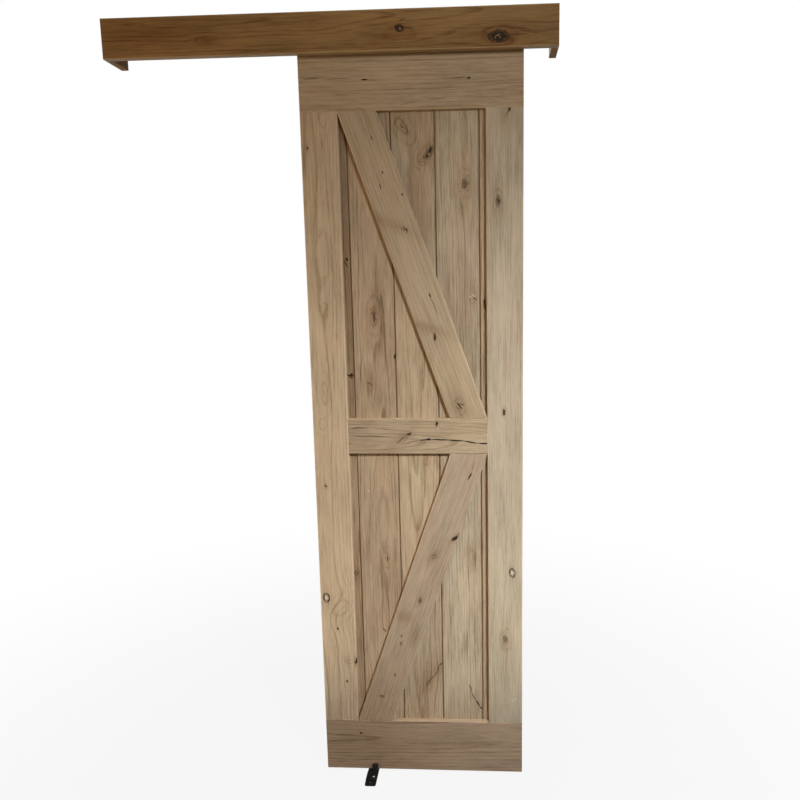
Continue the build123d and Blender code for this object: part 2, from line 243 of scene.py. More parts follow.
class Marks:
    """The knots and cracks of one board, each joined to those before it."""

    def __init__(self, g, place, own, turn):
        self.g = g
        self.turn = turn
        half = (0.5, 0.5, 0.5)
        coarse = g.vector("SUBTRACT", g.noise(own, 30.0, 1.0, 0.5, colour=True), half)
        fine = g.vector("SUBTRACT", g.noise(own, 130.0, 2.0, 0.6, colour=True), half)

        def wandering(coarse_step, fine_step):
            moved = g.vector("ADD", place, g.vector("SCALE", coarse, coarse_step))
            return g.vector("ADD", moved, g.vector("SCALE", fine, fine_step))

        self.knot_place = wandering(*KNOT_WANDER)
        self.crack_place = wandering(*CRACK_WANDER)
        self.chips = g.noise(own, 190.0, 2.0, 0.6)
        self.swirl = g.noise(g.stretch(own, (26.0, 60.0, 60.0)), 1.0, 2.0, 0.5)
        self.bend = self.dark = self.halo = self.lines = self.pale = None
        self.glow = self.foot = self.split = None

    def join(self, old, new, how="MAXIMUM"):
        return new if old is None else self.g.math(how, old, new)

    def group(self, tree, place, x, z, half_length, half_width, mark_turn):
        node = self.g.add("ShaderNodeGroup", node_tree=tree)
        self.g.feed(node.inputs["Place"], place)
        angle = self.turn + radians(mark_turn)
        node.inputs["Centre"].default_value = (LEAF_X + x * MM, 0, LEAF_Z + z * MM)
        node.inputs["Along"].default_value = Vector((cos(angle), 0, sin(angle))) / (half_length * MM)
        node.inputs["Across"].default_value = Vector((-sin(angle), 0, cos(angle))) / (half_width * MM)
        return node

    def add(self, kind, x, z, half_length, half_width, mark_turn=0.0):
        sizes = (x, z, half_length, half_width, mark_turn)
        if kind in CRACK_KINDS:
            node = self.group(crack_group, self.crack_place, *sizes)
            node.inputs["Strength"].default_value = CRACK_KINDS[kind]
            self.split = self.join(self.split, node.outputs["Dark"])
            return
        look = KNOT_KINDS[kind]
        smooth = kind in SMOOTH_KINDS
        node = self.group(knot_group, self.crack_place if smooth else self.knot_place, *sizes)
        self.g.feed(node.inputs["Break"], self.chips)
        self.g.feed(node.inputs["Swirl"], self.g.math("MULTIPLY", self.swirl, look.wander))
        node.inputs["Half width"].default_value = half_width * MM
        for key in ("core", "rim", "halo", "lines", "pale"):
            node.inputs[key.capitalize()].default_value = getattr(look, key)
        # Glow and foot marks are painted light and painted shade, kept apart from the stains
        if kind in ("glow", "foot"):
            setattr(self, kind, self.join(getattr(self, kind), node.outputs["Halo"]))
            return
        if look.bends:
            self.bend = self.join(self.bend, node.outputs["Bend"], "ADD")
        self.dark = self.join(self.dark, node.outputs["Dark"])
        self.halo = self.join(self.halo, node.outputs["Halo"])
        self.lines = self.join(self.lines, node.outputs["Lines"])
        self.pale = self.join(self.pale, node.outputs["Pale"])


def trail(kind, grain_turn, half_width, *points):
    """Marks along a bent line through points, each reaching into the next."""
    marks = []
    for (x0, z0), (x1, z1) in zip(points, points[1:]):
        step = Vector((x1 - x0, z1 - z0))
        turn = degrees(atan2(step.y, step.x)) - grain_turn
        marks.append((kind, (x0 + x1) / 2, (z0 + z1) / 2, 0.7 * step.length, half_width, turn))
    return tuple(marks)


def growth_rings(g, moved, length, depth, slow, figure, wave):
    """Dark late wood of rings round a pith that runs at a slope behind the face."""
    pith_across, pith_depth, pith_slope, ring_width = figure
    sideways = g.math("SUBTRACT", moved, pith_across)
    behind = g.math("ADD", g.math("MULTIPLY_ADD", length, pith_slope, pith_depth), depth)
    behind = g.math("ADD", behind, g.math("MULTIPLY", slow, 0.03 * wave))
    phase = g.math("DIVIDE", g.math("SQRT", g.squares(sideways, behind)), ring_width)
    part = g.math("FRACT", phase)
    year = g.add("ShaderNodeTexWhiteNoise", noise_dimensions="1D")
    g.feed(year.inputs["W"], g.math("FLOOR", phase))
    late = g.math("MULTIPLY", g.span(part, 0.56, 0.90), g.span(part, 1.0, 0.91))
    return g.math("MULTIPLY", late, g.span(year.outputs["Value"], 0.0, 1.0, 0.15, 1.0, smooth=False))


def planer_ripple(g, place, length, x, z, half_length, half_width):
    """Light and dark rows across the grain, fading out round a patch."""
    pitch = 5.4 * MM
    strength = 0.16
    offset = g.vector("SUBTRACT", place, (LEAF_X + x * MM, 0, LEAF_Z + z * MM))
    across = g.vector("DOT_PRODUCT", offset, (1 / (half_width * MM), 0, 0))
    along = g.vector("DOT_PRODUCT", offset, (0, 0, 1 / (half_length * MM)))
    fade = g.math("EXPONENT", g.math("MULTIPLY", g.squares(along, across), -0.7))
    rows = g.math("COSINE", g.math("MULTIPLY", length, 2 * pi / pitch))
    return g.math("MULTIPLY", g.math("MULTIPLY", rows, fade), strength)


def put_on(thing, material):
    thing.data.materials.clear()
    thing.data.materials.append(material)


# Factors on a board's tone. The pale edge is partly wear and partly painted highlight; the last two
# tints are painted light and painted shade
DARK_GRAIN = (0.50, 0.45, 0.39)
LIGHT_GRAIN = (1.28, 1.29, 1.30)
ROSY_CAST = (1.015, 0.995, 0.985)
OLIVE_CAST = (0.985, 1.0, 1.0)
PALE_KNOT = (1.40, 1.60, 1.90)
BROWN_STAIN = (0.62, 0.52, 0.42)
AMBER_STAIN = (0.62, 0.42, 0.26)
PALE_EDGE = (1.42, 1.42, 1.40)
PAINTED_LIGHT_TINT = (1.45, 1.50, 1.48)
PAINTED_SHADE_TINT = (0.46, 0.48, 0.52)

# Colours inside knots and splits
BLACK_BARK = (0.006, 0.004, 0.003)
BROWN_BARK = (0.028, 0.016, 0.009)
PALE_BARK = (0.20, 0.15, 0.10)
SPLIT_BLACK = (0.012, 0.008, 0.005)

# How far the grain strays across a board: over its length, within a hand's width, and finely
SLOW_WAVE = 34.0 * MM
QUICK_WAVE = 7.5 * MM
JITTER = 2.0 * MM

BRACE_HALF_WIDTH = 51.0 * MM


def wood(name, grain_turn, tone, figure, marks=(), roughness=0.60, contrast=1.0, wave=1.0, flame=0.15,
         stain=BROWN_STAIN, edge_tint=PALE_EDGE, edge_share=0.75, edge_width=2.8, chatter=None):
    """Solid wood for one board.

    grain_turn: degrees from +X to the grain in the door's plane
    tone: the board's own colour, which stain and edge_tint are factors on
    figure: pith's offset across the board, its depth behind the face, its slope along the grain, ring width
    marks: kind, x and z from the leaf's corner, half length along the grain, half width, turn in the face
    contrast, wave, flame: how strong the grain is, how far it strays, how dark its tongues are
    edge_share, edge_width: how strongly the edges are tinted, and how many millimetres of them
    chatter: x, z, half length and half width of a patch of planer ripple
    """
    low, high = (Vector(corner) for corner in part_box(name))
    material = bpy.data.materials.new("wood_" + name)
    material.use_nodes = True
    shader = material.node_tree.nodes["Principled BSDF"]
    g = Graph(material.node_tree)
    place = g.add("ShaderNodeTexCoord").outputs["Object"]
    turn = radians(grain_turn)
    along_axis = Vector((cos(turn), 0, sin(turn)))
    across_axis = Vector((-sin(turn), 0, cos(turn)))

    # Grain coordinates: along, across and depth from the board's middle
    local = g.vector("SUBTRACT", place, (low + high) / 2)
    length = g.vector("DOT_PRODUCT", local, along_axis)
    width = g.vector("DOT_PRODUCT", local, across_axis)
    depth = g.vector("DOT_PRODUCT", local, (0, 1, 0))
    combine = g.add("ShaderNodeCombineXYZ")
    for socket, value in zip(combine.inputs, (length, width, depth)):
        g.feed(socket, value)
    seed = sum(ord(letter) * (index + 3) for index, letter in enumerate(name)) % 97
    own = g.vector("ADD", combine.outputs[0], (0.37 * seed, 0.23 * seed, 0.11 * seed))

    found = Marks(g, place, own, turn)
    for mark in marks:
        found.add(*mark)
    slow = g.math("SUBTRACT", g.noise(g.stretch(own, (1.6, 7.0, 7.0)), 1.0, 2.0), 0.5)
    quick = g.math("SUBTRACT", g.noise(g.stretch(own, (7.0, 34.0, 34.0)), 1.0, 2.0), 0.5)
    jitter = g.math("SUBTRACT", g.noise(g.stretch(own, (45.0, 260.0, 260.0)), 1.0, 2.0), 0.5)
    moved = g.math("MULTIPLY_ADD", slow, SLOW_WAVE * wave, width)
    moved = g.math("MULTIPLY_ADD", quick, QUICK_WAVE * wave, moved)
    moved = g.math("MULTIPLY_ADD", jitter, JITTER, moved)
    if found.bend:
        moved = g.math("ADD", moved, found.bend)
    late = growth_rings(g, moved, length, depth, slow, figure, wave)

    # Streaks, pores and slow changes of tone
    streak = g.noise(g.stretch(own, (11.0, 210.0, 210.0)), 1.0, 4.0, 0.65)
    hair = g.noise(g.stretch(own, (30.0, 900.0, 900.0)), 1.0, 3.0, 0.6)
    pore = g.span(g.noise(g.stretch(own, (150.0, 2600.0, 2600.0)), 1.0, 1.0), 0.62, 0.74)
    blotch = g.noise(g.stretch(own, (4.5, 15.0, 15.0)), 1.0, 3.0, 0.6)
    cast = g.noise(g.stretch(own, (7.0, 17.0, 17.0)), 1.0, 2.0, 0.5)
    tongues = g.span(g.noise(g.stretch(own, (4.0, 60.0, 60.0)), 1.0, 4.0, 0.6), 0.52, 0.72)
    lit = 0.60
    for amount, pattern in ((1.15, streak), (0.75, hair), (0.80, blotch)):
        lit = g.math("MULTIPLY_ADD", g.math("SUBTRACT", pattern, 0.5), amount * contrast, lit)
    for amount, pattern in ((0.36, late), (0.10, pore), (0.60 * flame, tongues)):
        lit = g.math("MULTIPLY_ADD", pattern, -amount * contrast, lit)
    if chatter:
        lit = g.math("ADD", lit, planer_ripple(g, place, length, *chatter))

    ramp = g.ramp(lit, (0.0, tinted(tone, DARK_GRAIN)), (0.55, rgba(tone)), (1.0, tinted(tone, LIGHT_GRAIN)))
    rosy = g.blend(1.0, ramp, rgba(ROSY_CAST), "MULTIPLY")
    olive = g.blend(1.0, ramp, rgba(OLIVE_CAST), "MULTIPLY")
    colour = g.blend(g.span(cast, 0.36, 0.64), olive, rosy)

    # Edges: paler, partly sanded and partly a painted highlight where light catches them, or darker in the
    # planks' joints
    half_across = abs((high - low).dot(across_axis)) / 2
    if grain_turn % 90:
        half_across = BRACE_HALF_WIDTH
    edge_start = half_across - edge_width * MM
    edge_full = half_across - 0.4 * edge_width * MM
    edge = g.span(g.math("ABSOLUTE", width), edge_start, edge_full)
    highlight_wear_joint_edge = g.math("MULTIPLY", edge, g.math("MULTIPLY", blotch, 2.0 * edge_share), clamp=True)
    colour = g.blend(highlight_wear_joint_edge, colour, tinted(tone, edge_tint))

    # Pale patches of painted light and grey patches of painted shade, stain, rings, bark and splits
    if found.glow:
        colour = g.blend(found.glow, colour, rgba(PAINTED_LIGHT_TINT), "MULTIPLY")
    if found.foot:
        colour = g.blend(found.foot, colour, rgba(PAINTED_SHADE_TINT), "MULTIPLY")
    height = g.math("MULTIPLY_ADD", late, 0.35, g.math("MULTIPLY", hair, 0.3))
    height = g.math("MULTIPLY_ADD", pore, -0.5, height)
    if found.halo:
        deep = [share * share for share in stain]
        colour = g.blend(found.halo, colour, rgba(stain), "MULTIPLY")
        colour = g.blend(found.lines, colour, rgba(deep), "MULTIPLY")
        flakes = g.noise(own, 230.0, 3.0, 0.65)
        bark = g.ramp(flakes, (0.42, rgba(BLACK_BARK)), (0.64, rgba(BROWN_BARK)), (0.80, rgba(PALE_BARK)))
        colour = g.blend(found.dark, colour, bark)
        colour = g.blend(found.pale, colour, tinted(tone, PALE_KNOT))
        height = g.math("MULTIPLY_ADD", found.dark, -1.6, height)
    if found.split:
        colour = g.blend(found.split, colour, rgba(SPLIT_BLACK))
        height = g.math("MULTIPLY_ADD", found.split, -2.2, height)

    g.feed(shader.inputs["Base Color"], colour)
    rough = g.math("MULTIPLY_ADD", g.math("SUBTRACT", streak, 0.5), 0.22, roughness)
    g.feed(shader.inputs["Roughness"], g.math("MULTIPLY_ADD", pore, 0.08, rough))
    shader.inputs["Specular IOR Level"].default_value = 0.09
    g.bump(shader, height, 0.55, 0.35 * MM)
    put_on(nodes[name], material)


# Grain directions in degrees from +X, and the looks of edges
ACROSS, UP = 0.0, 90.0
UPPER_LEAN, LOWER_LEAN = -70.8, 70.6
# Pale, cool tint on the header's edges: a painted highlight
HEADER_EDGE = {"edge_tint": (1.7, 2.0, 2.6), "edge_share": 1.0, "edge_width": 3.4}
# Pale tint on the bottom rail's top ledge and lower edge: a painted highlight
RAIL_EDGE = {"edge_tint": (1.5, 1.5, 1.5), "edge_share": 1.0, "edge_width": 1.2}
JOINT_EDGE = {"edge_tint": (0.60, 0.45, 0.28), "edge_share": 0.95, "edge_width": 4.2}

# Header
wood("valance_front", ACROSS, (0.282, 0.168, 0.068), (0.03, 0.03, 0.05, 0.010), (
    ("black", 542, 2136, 27, 15),
    ("spot", 540, 2139, 16, 2.4, 18),
    ("spot", 546, 2135, 12, 2.0, -42),
    ("spot", 534, 2133, 10, 1.8, 70),
    ("stain", 540, 2140, 46, 26),
    ("loop", 545, 2138, 62, 30),
    ("line", 592, 2140, 34, 2.2),
    ("black", 283, 2164, 13, 9.5),
    ("spot", 285, 2162, 6, 5),
    ("line", 306, 2163, 20, 2.4),
    ("stain", 268, 2146, 34, 9, 12),
    ("stain", 300, 2150, 26, 12, -20),
    ("loop", 284, 2150, 58, 20),
    ("line", 290, 2184, 12, 2.4, 30),
    ("faint", 60, 2180, 26, 12),
    ("grey", -240, 2150, 20, 10),
    ("stain", -420, 2170, 70, 18),
), roughness=0.46, contrast=1.2, wave=1.1, stain=AMBER_STAIN, **HEADER_EDGE)
wood("left_return", ACROSS, (0.29, 0.17, 0.068), (0.05, 0.06, 0.02, 0.009), stain=AMBER_STAIN)
wood("right_return", ACROSS, (0.29, 0.17, 0.068), (-0.04, 0.07, 0.02, 0.009), stain=AMBER_STAIN)
wood("ledger", ACROSS, (0.34, 0.24, 0.135), (0.06, 0.05, 0.03, 0.009))

# Frame
wood("top_rail", ACROSS, (0.430, 0.329, 0.211), (0.26, 0.08, 0.01, 0.0115), (
    ("line", 35, 2056, 32, 2.2),
    ("line", 112, 2053, 50, 1.2),
    ("crack", 181, 2048, 12, 2.6),
    ("line", 202, 2046, 18, 1.5),
    ("line", 440, 2047, 28, 1.6),
    ("crack", 463, 2046, 7, 3.0),
    ("hair", 165, 1975, 22, 1.2, -20),
    ("hair", 390, 1997, 28, 1.2, 16),
    ("hair", 300, 1986, 30, 1.2, 10),
    ("faint", 590, 2002, 30, 16),
), contrast=1.1, wave=0.5, flame=0.05)
# The bottom rail's tone is darker than the other boards', partly as painted shade near the floor
wood("bottom_rail", ACROSS, (0.305, 0.230, 0.158), (0.03, 0.05, 0.035, 0.010), (
    ("knot", 109, 120, 4, 3),
    ("faint", 109, 118, 26, 9),
    ("hair", 44, 113, 40, 2.0),
    ("line", 23, 92, 14, 2.2),
    # The broad stain darkens the left end, partly the board's own tone and partly painted shade
    ("stain", 60, 80, 120, 80),
    ("stain", 399, 90, 80, 5),
    ("stain", 499, 96, 50, 5),
), flame=0.2, **RAIL_EDGE)
wood("left_stile", UP, (0.545, 0.428, 0.289), (0.03, 0.06, 0.004, 0.0085), (
    ("knot", 19, 1873, 5, 3.5),
    ("loop", 65, 1951, 30, 13),
    ("loop", 48, 1585, 96, 26),
    ("loop", 47, 1440, 18, 9),
    ("loop", 37, 1192, 42, 13),
    ("loop", 29, 1104, 24, 15),
    ("knot", 30, 915, 4, 3.5),
    ("eye", 19, 567, 15, 10),
    ("crack", 11, 568, 14, 2.6),
    ("loop", 62, 535, 24, 40, 50),
    ("knot", 48, 467, 4, 3),
    ("black", 101, 361, 8, 5),
    ("loop", 80, 361, 11, 15),
    ("knot", 71, 297, 3.5, 3),
    ("loop", 67, 284, 14, 8),
    # Painted light: a pale patch low on the outer edge; painted shade: a grey patch at the foot
    ("glow", -30, 430, 110, 70),
    ("foot", 50, 130, 90, 90),
), contrast=0.9, flame=0.05)
wood("right_stile", UP, (0.460, 0.384, 0.276), (0.20, 0.06, 0.008, 0.0068), (
    ("black", 572, 1962, 6, 3.6, -15),
    ("line", 566, 1952, 12, 2.0, -28),
    ("stain", 562, 1954, 20, 14),
    ("soft", 541, 1727, 15, 9),
    ("grey", 541, 1727, 28, 15),
    ("crack", 541, 1728, 10, 2.0, 32),
    ("crack", 544, 1725, 8, 1.8, -30),
    ("black", 555, 1137, 8, 3.2),
    ("eye", 581, 650, 13, 8),
    ("crack", 574, 656, 9, 1.6, 20),
    ("grey", 560, 440, 30, 15),
    ("soft", 560, 440, 12, 7),
    ("gleam", 585, 243, 24, 5, -63),
    # Painted shade at the foot and painted light above it
    ("foot", 560, 130, 95, 90),
    ("glow", 560, 400, 140, 80),
    ("gleam", 531, 575, 18, 4, 8),
), contrast=0.9, wave=0.6, flame=0.05)
wood("mid_rail", ACROSS, (0.384, 0.298, 0.198), (-0.02, 0.035, 0.09, 0.009), (
    ("line", 136, 1091, 36, 3.0),
    ("line", 214, 1088, 52, 1.6, -3),
    ("stain", 162, 1108, 14, 7),
    ("line", 178, 1066, 76, 1.8, -1.5),
    ("knot", 280, 1074, 7, 4, 35),
    ("line", 264, 1060, 26, 1.9, 40),
    ("line", 256, 1058, 22, 1.6, 44),
    ("hair", 271, 1056, 22, 2.0, 52),
    ("stain", 262, 1062, 26, 12, 40),
    ("line", 288, 1049, 30, 2.0, 19),
    ("crack", 338, 1057, 10, 4.0),
    *trail("crack", ACROSS, 2.7, (312, 1055), (345, 1057), (395, 1056),
           (440, 1052), (482, 1046), (512, 1044)),
    # Painted light on the rail's right part
    ("glow", 430, 1085, 110, 60),
    ("black", 362, 1102, 6, 3.4, 90),
    ("spot", 364, 1089, 6, 5),
), flame=0.2, contrast=0.95)
wood("upper_brace", UPPER_LEAN, (0.432, 0.336, 0.220), (0.10, 0.05, 0.012, 0.0095), (
    ("crack", 197, 1898, 8, 1.8),
    ("crack", 224, 1807, 5, 2.6),
    ("crack", 215, 1769, 12, 1.5),
    ("hair", 213, 1782, 30, 1.4),
    ("crack", 278, 1747, 5, 2.6),
    ("stain", 236, 1672, 34, 11, 46),
    ("crack", 281, 1655, 11, 2.0, 28),
    ("crack", 287, 1650, 10, 1.8, -22),
    ("crack", 276, 1652, 9, 1.4, 40),
    ("crack", 349, 1471, 9, 2.6),
    ("line", 360, 1440, 36, 1.8),
    ("stain", 341, 1381, 30, 10, 50),
    ("black", 360, 1353, 9, 3.6, -8),
    ("grey", 429, 1154, 22, 15),
    ("crack", 429, 1155, 15, 2.6, 22),
    ("crack", 435, 1160, 9, 1.8, 52),
    ("line", 424, 1148, 11, 1.9, 40),
), contrast=0.75, wave=0.7, flame=0.05)
wood("lower_brace", LOWER_LEAN, (0.412, 0.323, 0.225), (-0.16, 0.05, 0.01, 0.0085), (
    ("crack", 456, 948, 16, 3.2, -5),
    ("line", 466, 976, 22, 1.8),
    ("line", 449, 848, 40, 1.8, -4),
    ("black", 409, 758, 10, 5.5, -30),
    ("line", 420, 772, 14, 2.4, -40),
    ("grey", 347, 701, 13, 9),
    ("oval", 347, 701, 14, 8, -25),
    ("line", 345, 705, 9, 2.0, -40),
    ("line", 349, 697, 9, 2.0, -40),
    ("soft", 303, 560, 8, 4),
    ("stain", 256, 508, 10, 26),
    ("soft", 243, 446, 4, 2.6),
    ("soft", 241, 421, 4, 2.6),
    ("stain", 287, 449, 16, 14),
    ("soft", 220, 318, 5, 3.4),
    ("stain", 173, 248, 9, 16),
    ("soft", 178, 250, 4, 7, 15),
    # The lower end darkens: the broad stain partly, and the foot wholly, as painted shade
    ("stain", 150, 140, 95, 95),
    ("foot", 130, -20, 80, 80),
), contrast=0.8, wave=0.6, flame=0.1)

# Planks
wood("plank_1", UP, (0.36, 0.255, 0.157), (0.07, 0.05, 0.02, 0.009), (
    ("stain", 104, 1480, 200, 40),
    ("black", 113, 1572, 5, 4),
    ("crack", 108, 1564, 10, 1.6, 30),
    ("crack", 113, 1557, 9, 1.6, 30),
    ("black", 117, 1245, 5, 5),
    ("crack", 108, 1244, 9, 2.6, 70),
    ("crack", 112, 1238, 9, 2.2, 50),
    ("grey", 109, 641, 16, 9),
    ("crack", 106, 643, 10, 1.7, -35),
    ("crack", 112, 638, 10, 1.7, -35),
    # Painted light on the strip
    ("glow", 112, 830, 90, 40),
), contrast=1.2, flame=0.3, **JOINT_EDGE)
wood("plank_2", UP, (0.425, 0.320, 0.211), (-0.01, 0.03, 0.03, 0.009), (
    ("oval", 186, 1414, 40, 16),
    ("stain", 198, 1432, 44, 12),
    ("spot", 155, 897, 9, 2.6),
    ("soft", 186, 1414, 15, 6),
    ("line", 187, 1408, 18, 2.0, -8),
    ("grey", 168, 1218, 18, 11),
    ("line", 163, 1220, 8, 2.2, 60),
    ("line", 171, 1216, 10, 2.0, 40),
    ("black", 242, 1298, 5, 3.6),
    ("oval", 204, 691, 24, 10),
    ("crack", 205, 688, 9, 1.6),
    ("loop", 197, 800, 130, 16),
    ("crack", 188, 460, 8, 1.8, 20),
    ("crack", 194, 456, 7, 1.6, 20),
), flame=0.35, contrast=1.2, chatter=(186, 944, 46, 26), **JOINT_EDGE)
wood("plank_3", UP, (0.425, 0.330, 0.219), (0.01, 0.03, -0.035, 0.009), (
    ("oval", 277, 1931, 40, 19, 33),
    ("stain", 285, 1926, 34, 12, 33),
    ("hair", 291, 1921, 24, 3.0, 30),
    ("crack", 278, 1928, 6, 1.8, 33),
    ("grey", 344, 1856, 28, 15, -35),
    ("soft", 350, 1858, 19, 10, -35),
    ("black", 356, 1868, 8, 4, -20),
    ("black", 345, 1851, 7, 3.4, -40),
    ("spot", 351, 1855, 7, 2.6, -30),
    ("hair", 331, 1842, 18, 1.8, -50),
    ("stain", 306, 1760, 90, 11),
    ("stain", 330, 1650, 70, 10),
    ("loop", 320, 1285, 92, 10),
    ("grey", 326, 995, 18, 10),
    ("stain", 301, 771, 30, 8),
    # Painted light
    ("glow", 305, 925, 110, 60),
    ("faint", 318, 306, 34, 24),
    ("faint", 282, 178, 18, 22),
    *trail("line", UP, 2.6, (364, 352), (355, 343), (352, 325), (341, 308),
           (329, 299), (320, 286), (314, 272)),
    *trail("crack", UP, 1.7, (366, 350), (356, 344)),
    ("stain", 336, 308, 40, 12, -32),
), contrast=1.0, flame=0.25, **JOINT_EDGE)
wood("plank_4", UP, (0.415, 0.336, 0.234), (0.12, 0.05, 0.012, 0.008), (
    ("grey", 449, 1776, 36, 17),
    ("soft", 449, 1774, 13, 9),
    ("loop", 448, 1900, 80, 12),
    ("stain", 448, 1908, 60, 7),
    ("grey", 471, 1467, 20, 11),
    ("crack", 474, 1460, 9, 1.8, 45),
    ("spot", 470, 1468, 16, 3.0, 40),
    ("spot", 462, 1466, 12, 2.4, 40),
    ("stain", 396, 1472, 42, 10),
    ("stain", 446, 1360, 80, 22),
    ("stain", 412, 1330, 60, 9),
    ("line", 449, 672, 140, 1.5),
    ("grey", 463, 695, 20, 10),
    # Painted shade at the foot and painted light higher up
    ("foot", 430, 40, 75, 80),
    ("glow", 435, 557, 150, 60),
    ("glow", 425, 1860, 110, 40),
    *trail("line", UP, 3.4, (447, 281), (456, 256), (468, 229), (480, 208), (488, 198)),
    *trail("crack", UP, 2.0, (468, 229), (480, 208), (488, 198)),
), contrast=1.15, flame=0.3, **JOINT_EDGE)
wood("plank_5", UP, (0.41, 0.318, 0.212), (-0.08, 0.05, 0.01, 0.009), (
    ("black", 502, 1443, 16, 3.4),
), contrast=1.1, flame=0.2, **JOINT_EDGE)


# Metal, nylon and rubber
def plain_finish(name, colour, worn_colour, roughness, grain, bump_height, metallic=0.0):
    """Powder coat, screw metal, nylon or rubber: fine texture with rubbed patches."""
    material = bpy.data.materials.new(name)
    material.use_nodes = True
    tree = material.node_tree
    shader = tree.nodes["Principled BSDF"]
    g = Graph(tree)
    place = g.add("ShaderNodeTexCoord").outputs["Object"]
    fine = g.noise(place, grain, 3.0, 0.6)
    patch = g.noise(place, 45.0, 4.0, 0.6)
    rubbed = g.span(patch, 0.52, 0.74)
    colour_out = g.blend(g.math("MULTIPLY", rubbed, 0.6), rgba(colour), rgba(worn_colour))
    g.feed(shader.inputs["Base Color"], colour_out)
    rough = g.math("ADD", g.math("MULTIPLY", g.math("SUBTRACT", fine, 0.5), 0.25), roughness)
    g.feed(shader.inputs["Roughness"], g.math("SUBTRACT", rough, g.math("MULTIPLY", rubbed, 0.08)))
    shader.inputs["Metallic"].default_value = metallic
    shader.inputs["Specular IOR Level"].default_value = 0.22
    g.bump(shader, fine, 0.5, bump_height * MM)
    return material


steel = plain_finish("powder_coated_steel", (0.006, 0.006, 0.0065), (0.018, 0.0175, 0.017),
                     roughness=0.52, grain=900.0, bump_height=0.12)
screw_steel = plain_finish("screw_steel", (0.05, 0.05, 0.052), (0.10, 0.10, 0.10),
                           roughness=0.34, grain=700.0, bump_height=0.05, metallic=1.0)
zinc = plain_finish("zinc_screw_steel", (0.62, 0.62, 0.63), (0.45, 0.44, 0.42),
                    roughness=0.24, grain=700.0, bump_height=0.03, metallic=1.0)
nylon = plain_finish("roller_nylon", (0.018, 0.018, 0.019), (0.035, 0.034, 0.033),
                     roughness=0.40, grain=500.0, bump_height=0.08)
rubber = plain_finish("buffer_rubber", (0.014, 0.014, 0.014), (0.03, 0.029, 0.027),
                      roughness=0.72, grain=420.0, bump_height=0.15)

STEEL_ENDINGS = ("hanger", "axle", "stop", "bracket")
STEEL_STARTS = ("standoff", "track", "guide")
for name in nodes:
    if name.endswith(STEEL_ENDINGS) or name.startswith(STEEL_STARTS):
        put_on(nodes[name], steel)
    elif name.endswith("roller"):
        put_on(nodes[name], nylon)
    elif name.endswith("buffer"):
        put_on(nodes[name], rubber)


# Bolt and screw heads
HEAD_SIDES = 48


def hexagon_radius(flat):
    def radius(angle):
        return flat / cos((angle % (pi / 3)) - pi / 6)
    return radius


def cross_radius(reach, half_bar):
    def radius(angle):
        turn = (angle + pi / 4) % (pi / 2) - pi / 4
        return half_bar / max(abs(sin(turn)), half_bar / reach)
    return radius


# Sizes of the heads in millimetres; a recess gives its radius at an angle
Head = namedtuple("Head", "radius height recess recess_depth")
LAG_HEAD = Head(6.5, 3.4, hexagon_radius(2.6), 1.9)
STOP_HEAD = Head(3.4, 1.6, hexagon_radius(1.5), 1.0)
HANGER_HEAD = Head(4.4, 1.9, cross_radius(2.4, 0.6), 1.0)
FLOOR_HEAD = Head(4.4, 2.0, cross_radius(2.4, 0.6), 1.1)
FRONT_FOOT_HEAD = Head(3.6, 2.4, cross_radius(2.0, 0.5), 1.2)
BACK_FOOT_HEAD = Head(3.4, 2.0, cross_radius(1.9, 0.5), 1.0)


def fastener(name, body, seat, axis, head, material=screw_steel):
    """Domed head with a hexagon or cross recess, seated at a point and facing along axis."""
    def even(size):
        return lambda angle: size

    radius, height, recess, recess_depth = head
    rings = [
        (even(radius * 0.97), -0.2),
        (even(radius * 0.97), 0.0),
        (even(radius), height * 0.12),
        (even(radius), height * 0.38),
        (even(radius * 0.95), height * 0.62),
        (even(radius * 0.84), height * 0.82),
        (even(radius * 0.68), height * 0.95),
        (lambda angle: max(recess(angle) * 1.06, radius * 0.5), height),
        (recess, height * 0.99),
        (recess, height - recess_depth),
        (lambda angle: recess(angle) * 0.3, height - recess_depth - 0.25),
    ]
    mesh = bpy.data.meshes.new(name)
    shape = bmesh.new()
    loops = []
    for size, level in rings:
        loop = []
        for step in range(HEAD_SIDES):
            angle = 2 * pi * step / HEAD_SIDES
            reach = size(angle)
            loop.append(shape.verts.new((reach * cos(angle), reach * sin(angle), level)))
        loops.append(loop)
    for lower, upper in zip(loops, loops[1:]):
        for step in range(HEAD_SIDES):
            ahead = (step + 1) % HEAD_SIDES
            shape.faces.new((lower[step], lower[ahead], upper[ahead], upper[step]))
    shape.faces.new(loops[-1])
    shape.faces.new(list(reversed(loops[0])))
    turn = Vector((0, 0, 1)).rotation_difference(Vector(axis)).to_matrix().to_4x4()
    place = Matrix.Translation(Vector(seat)) @ turn @ Matrix.Scale(MM, 4)
    bmesh.ops.transform(shape, matrix=place, verts=shape.verts)
    bmesh.ops.recalc_face_normals(shape, faces=shape.faces)
    shape.to_mesh(mesh)
    shape.free()
    for polygon in mesh.polygons:
        polygon.use_smooth = True
    mesh.set_sharp_from_angle(angle=radians(38))
    piece = bpy.data.objects.new(name, mesh)
    bpy.context.scene.collection.objects.link(piece)
    mesh.materials.append(material)
    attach(piece, body)


FIXED, MOVING = "header_and_guide", "door_leaf"
ROOM, SKY = (0, -1, 0), (0, 0, 1)

# Lag bolts through the track
track_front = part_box("track")[0][1]
for number in (1, 2, 3):
    low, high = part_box(f"standoff_{number}")
    seat = ((low[0] + high[0]) / 2, track_front, (low[2] + high[2]) / 2)
    fastener(f"lag_bolt_{number}", FIXED, seat, ROOM, LAG_HEAD)

